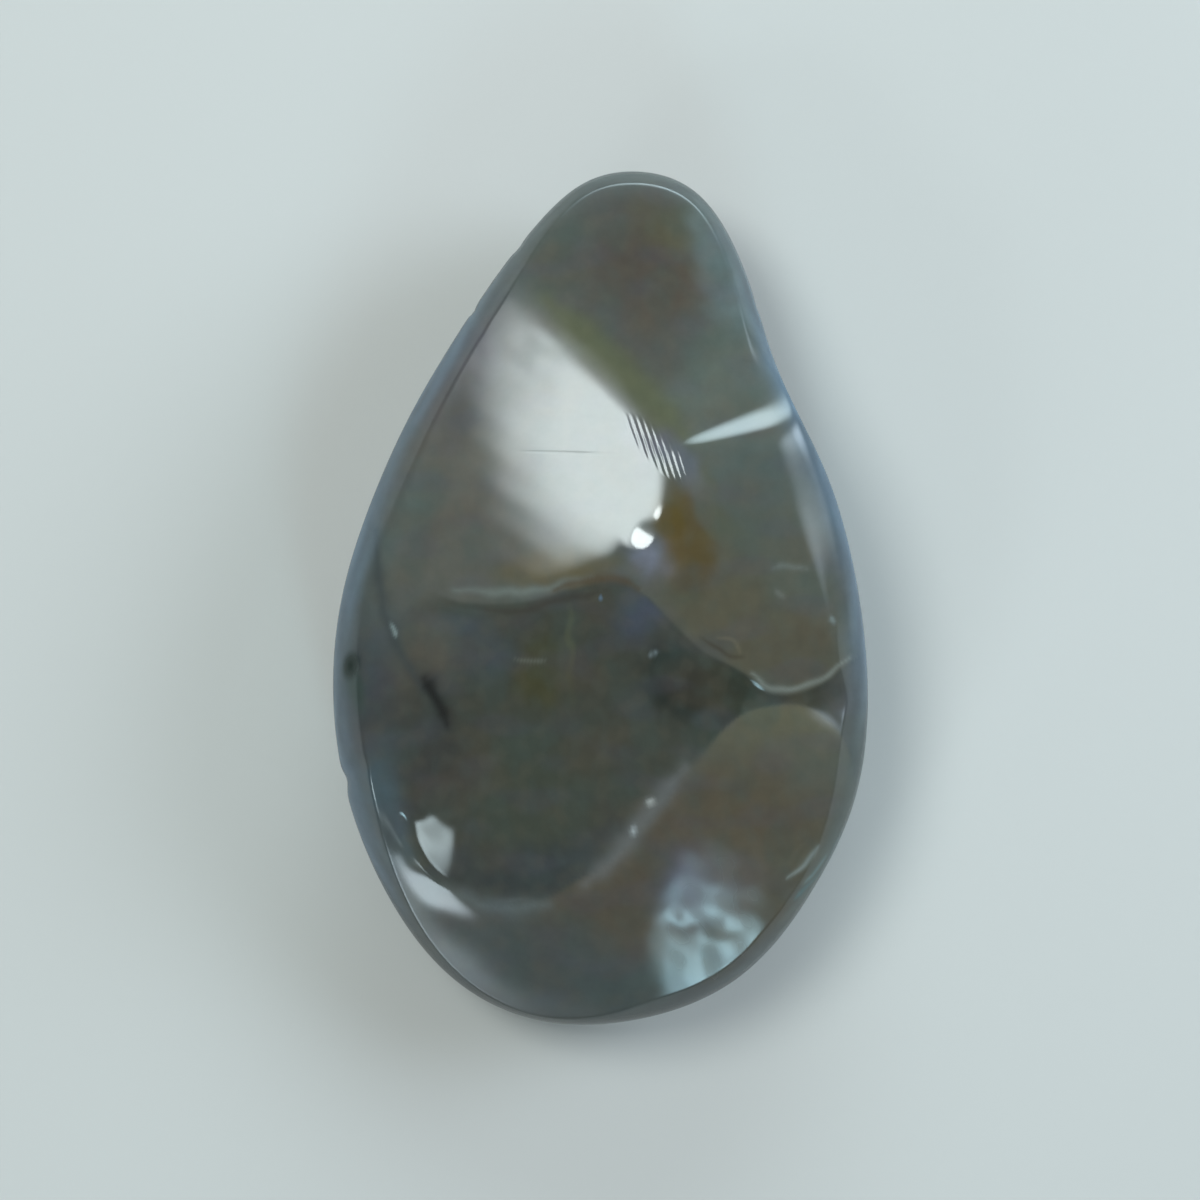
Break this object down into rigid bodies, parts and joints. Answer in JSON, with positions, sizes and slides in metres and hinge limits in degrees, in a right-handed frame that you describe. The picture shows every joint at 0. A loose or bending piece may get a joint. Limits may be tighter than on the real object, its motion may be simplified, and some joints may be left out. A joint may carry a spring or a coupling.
{
  "type": "agate",
  "caption": "Palm-sized polished agate, a freeform teardrop with broad ground faces, a dished hollow, a rounded lobe and a flat sole to rest on.",
  "frame": {"origin": "middle of the stone's box at the table, under its flat sole", "axes": "+Y along the length towards the narrow end, +Z up from the table, +X to the right when seen from above with +Y up"},
  "size_m": [0.0324, 0.052, 0.0161],
  "materials": {
    "agate_chalcedony": "polished to a wet gloss, grey-olive with amber and smoky patches and a blue-grey skin at the edge"
  },
  "bodies": {
    "root": {"agate": "agate_chalcedony"}
  },
  "joints": []
}
